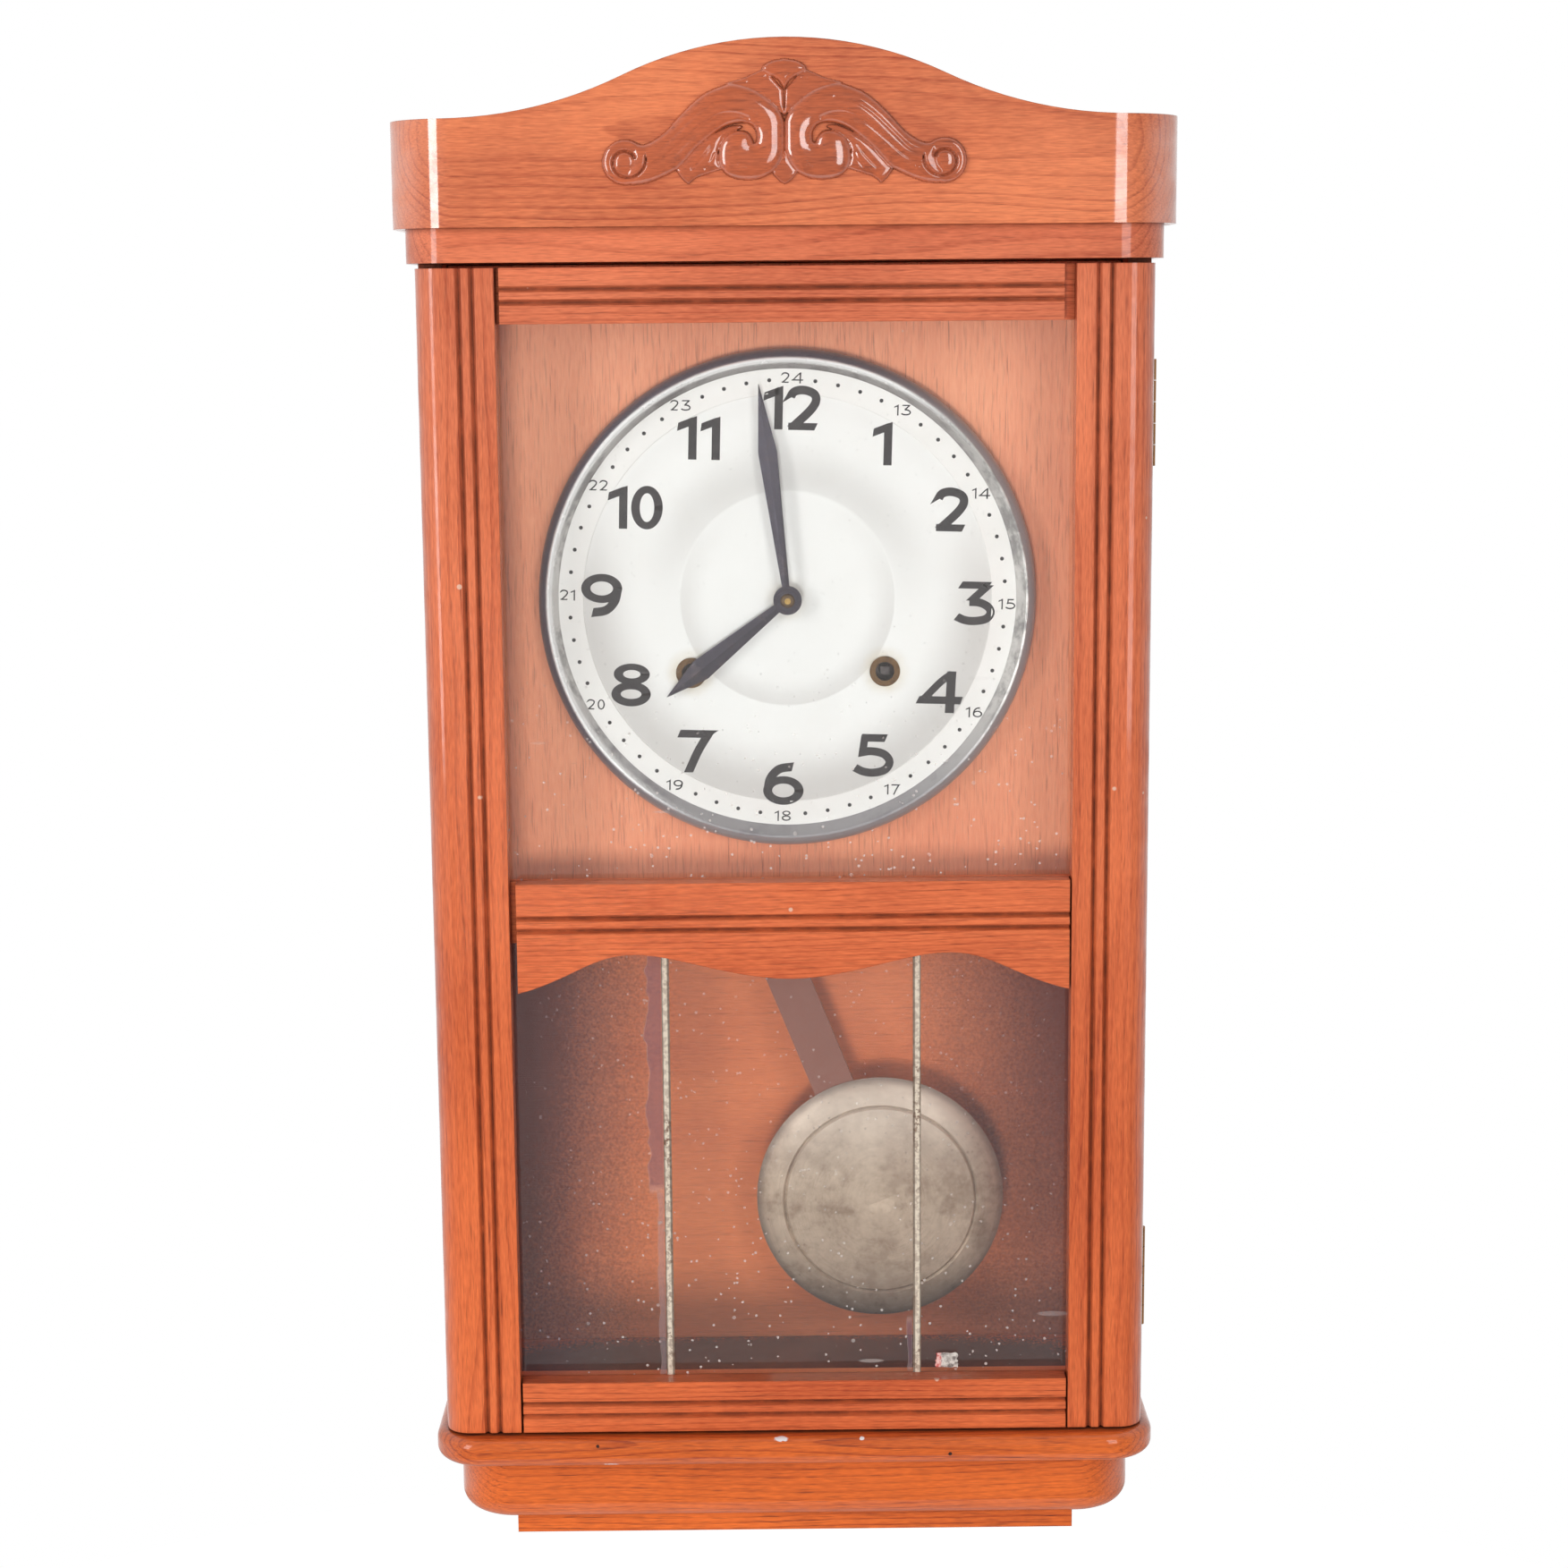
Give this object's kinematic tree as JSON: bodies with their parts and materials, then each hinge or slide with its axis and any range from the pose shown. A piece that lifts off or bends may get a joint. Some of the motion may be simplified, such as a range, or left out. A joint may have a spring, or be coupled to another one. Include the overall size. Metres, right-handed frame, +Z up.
{
  "type": "pendulum wall clock",
  "caption": "Glazed wooden wall clock with arched crown, silvered dial, two winding squares, geared movement and a hooked pendulum with a round bob.",
  "frame": {"origin": "centre of the hanger hole, on the back plane that lies against the wall", "axes": "+X to the viewer's right, +Y into the wall, +Z up"},
  "size_m": [0.326, 0.1392, 0.6455],
  "materials": {
    "case_wood": "glossy varnish",
    "board_wood": "satin veneer",
    "inner_wood": "plain",
    "clear_glass": "clear",
    "gilt_strip": "dull",
    "hinge_brass": "satin",
    "silvered_dial": "silvered",
    "bezel_metal": "polished",
    "blued_steel": "blued",
    "plate_brass": "satin",
    "steel": "bright",
    "iron": "plain",
    "stick": "dull",
    "bob_metal": "aged"
  },
  "bodies": {
    "case": {"back_panel": "inner_wood", "hanger_plate": "steel", "side_left": "case_wood", "side_right": "case_wood", "top_board": "case_wood", "bottom_board": "case_wood", "base_block": "case_wood", "foot_strip": "case_wood", "crown_board": "case_wood", "crown_sides": "case_wood", "crest_carving": "case_wood", "dial_board": "board_wood", "case_cleats": "inner_wood", "seat_board": "inner_wood", "hinge_case_leaves": "hinge_brass", "catch_spring": "hinge_brass", "dial_plate": "silvered_dial", "bezel_ring": "bezel_metal", "winding_eyelets": "hinge_brass", "front_plate": "plate_brass", "back_plate": "plate_brass", "suspension_cock": "steel", "gong_block": "iron", "gong_rods": "steel"},
    "door": {"door_stile_left": "case_wood", "door_stile_right": "case_wood", "door_top_rail": "case_wood", "door_mid_rail": "case_wood", "door_bottom_rail": "case_wood", "glass_upper": "clear_glass", "glass_lower": "clear_glass", "glass_strips": "gilt_strip", "glass_beads": "inner_wood", "hinge_door_leaves": "hinge_brass", "catch_stud": "hinge_brass"},
    "centre": {"centre_arbor": "plate_brass", "cannon_pinion": "plate_brass", "minute_hand": "blued_steel", "hand_nut": "hinge_brass"},
    "motion": {"motion_wheel": "plate_brass"},
    "hour": {"hour_wheel": "plate_brass", "hour_hand": "blued_steel"},
    "second": {"second_wheel": "plate_brass"},
    "third": {"third_wheel": "plate_brass"},
    "escape": {"escape_wheel": "plate_brass"},
    "anchor": {"anchor": "steel"},
    "barrel_time": {"time_barrel": "plate_brass"},
    "arbor_time": {"time_winding_arbor": "steel"},
    "click_time": {"time_click": "steel"},
    "barrel_strike": {"strike_barrel": "plate_brass"},
    "arbor_strike": {"strike_winding_arbor": "steel"},
    "click_strike": {"strike_click": "steel"},
    "second_strike": {"strike_second_wheel": "plate_brass"},
    "warning": {"warning_wheel": "plate_brass"},
    "fly": {"fly": "plate_brass"},
    "hammer": {"hammer": "steel"},
    "leader": {"pendulum_leader": "steel"},
    "pendulum": {"pendulum_rod": "stick"},
    "bob": {"pendulum_bob": "bob_metal"},
    "nut": {"rating_nut": "steel"}
  },
  "joints": [
    {"name": "door_hinge", "type": "hinge", "parent": "case", "child": "door", "pos_m": [0.154, -0.104, 0], "axis": [0, 0, 1], "range_deg": [0, 110]},
    {"name": "minute_turn", "type": "hinge", "parent": "case", "child": "centre", "pos_m": [0, -0.0527, -0.1133], "axis": [0, 1, 0], "continuous": true},
    {"name": "hour_turn", "type": "hinge", "parent": "case", "child": "hour", "pos_m": [0, -0.0527, -0.1133], "axis": [0, 1, 0], "continuous": true},
    {"name": "motion_turn", "type": "hinge", "parent": "case", "child": "motion", "pos_m": [0.0102, -0.0527, -0.09563], "axis": [0, 1, 0], "continuous": true},
    {"name": "second_turn", "type": "hinge", "parent": "case", "child": "second", "pos_m": [0.02611, -0.0527, -0.10938], "axis": [0, 1, 0], "continuous": true},
    {"name": "time_barrel_turn", "type": "hinge", "parent": "case", "child": "barrel_time", "pos_m": [0.042, -0.0527, -0.145], "axis": [0, 1, 0], "continuous": true},
    {"name": "third_turn", "type": "hinge", "parent": "case", "child": "third", "pos_m": [-0.01659, -0.0527, -0.0981], "axis": [0, 1, 0], "continuous": true},
    {"name": "escape_turn", "type": "hinge", "parent": "case", "child": "escape", "pos_m": [0, -0.0527, -0.0873], "axis": [0, 1, 0], "continuous": true},
    {"name": "time_winding", "type": "hinge", "parent": "case", "child": "arbor_time", "pos_m": [0.042, -0.0527, -0.145], "axis": [0, 1, 0], "continuous": true},
    {"name": "time_click_lift", "type": "hinge", "parent": "case", "child": "click_time", "pos_m": [0.055, -0.071, -0.139], "axis": [0, 1, 0], "range_deg": [0, 15], "stiffness_Nm_per_rad": 0.004},
    {"name": "strike_barrel_turn", "type": "hinge", "parent": "case", "child": "barrel_strike", "pos_m": [-0.042, -0.0527, -0.145], "axis": [0, 1, 0], "continuous": true},
    {"name": "strike_winding", "type": "hinge", "parent": "case", "child": "arbor_strike", "pos_m": [-0.042, -0.0527, -0.145], "axis": [0, 1, 0], "continuous": true},
    {"name": "strike_click_lift", "type": "hinge", "parent": "case", "child": "click_strike", "pos_m": [-0.055, -0.071, -0.139], "axis": [0, 1, 0], "range_deg": [-15, 0], "stiffness_Nm_per_rad": 0.004},
    {"name": "strike_second_turn", "type": "hinge", "parent": "case", "child": "second_strike", "pos_m": [-0.04098, -0.0527, -0.10601], "axis": [0, 1, 0], "continuous": true},
    {"name": "warning_turn", "type": "hinge", "parent": "case", "child": "warning", "pos_m": [-0.04473, -0.0527, -0.08474], "axis": [0, 1, 0], "continuous": true},
    {"name": "fly_turn", "type": "hinge", "parent": "case", "child": "fly", "pos_m": [-0.03618, -0.0527, -0.06993], "axis": [0, 1, 0], "continuous": true},
    {"name": "hammer_lift", "type": "hinge", "parent": "case", "child": "hammer", "pos_m": [-0.056, -0.0339, -0.1173], "axis": [0, 1, 0], "range_deg": [0, 12]},
    {"name": "leader_swing", "type": "hinge", "parent": "case", "child": "leader", "pos_m": [0, -0.0285, -0.0663], "axis": [0, 1, 0], "range_deg": [-7.3, 0.5]},
    {"name": "anchor_swing", "type": "hinge", "parent": "case", "child": "anchor", "pos_m": [0, -0.0527, -0.0663], "axis": [0, 1, 0], "range_deg": [-7.3, 0.5]},
    {"name": "pendulum_hook", "type": "hinge", "parent": "leader", "child": "pendulum", "pos_m": [-0.0127, -0.0285, -0.265], "axis": [0, 1, 0], "range_deg": [-0.5, 49]},
    {"name": "bob_slide", "type": "slide", "parent": "pendulum", "child": "bob", "axis": [0.373, 0, -0.9278], "range_m": [-0.0034, 0.0034]},
    {"name": "nut_turn", "type": "hinge", "parent": "bob", "child": "nut", "pos_m": [0.04146, -0.0285, -0.39972], "axis": [0.373, 0, -0.9278], "range_deg": [-2160, 2160]}
  ],
  "couplings": [
    {"joint": "motion_turn", "follows": "minute_turn", "ratio": -0.33333},
    {"joint": "hour_turn", "follows": "minute_turn", "ratio": 0.083333},
    {"joint": "second_turn", "follows": "minute_turn", "ratio": -0.33333},
    {"joint": "time_barrel_turn", "follows": "minute_turn", "ratio": 0.083333},
    {"joint": "third_turn", "follows": "minute_turn", "ratio": -9},
    {"joint": "escape_turn", "follows": "minute_turn", "ratio": 90},
    {"joint": "strike_second_turn", "follows": "strike_barrel_turn", "ratio": -4},
    {"joint": "warning_turn", "follows": "strike_barrel_turn", "ratio": 20},
    {"joint": "fly_turn", "follows": "strike_barrel_turn", "ratio": -75},
    {"joint": "anchor_swing", "follows": "leader_swing", "ratio": 1},
    {"joint": "nut_turn", "follows": "bob_slide", "rad_per_m": 10472}
  ]
}
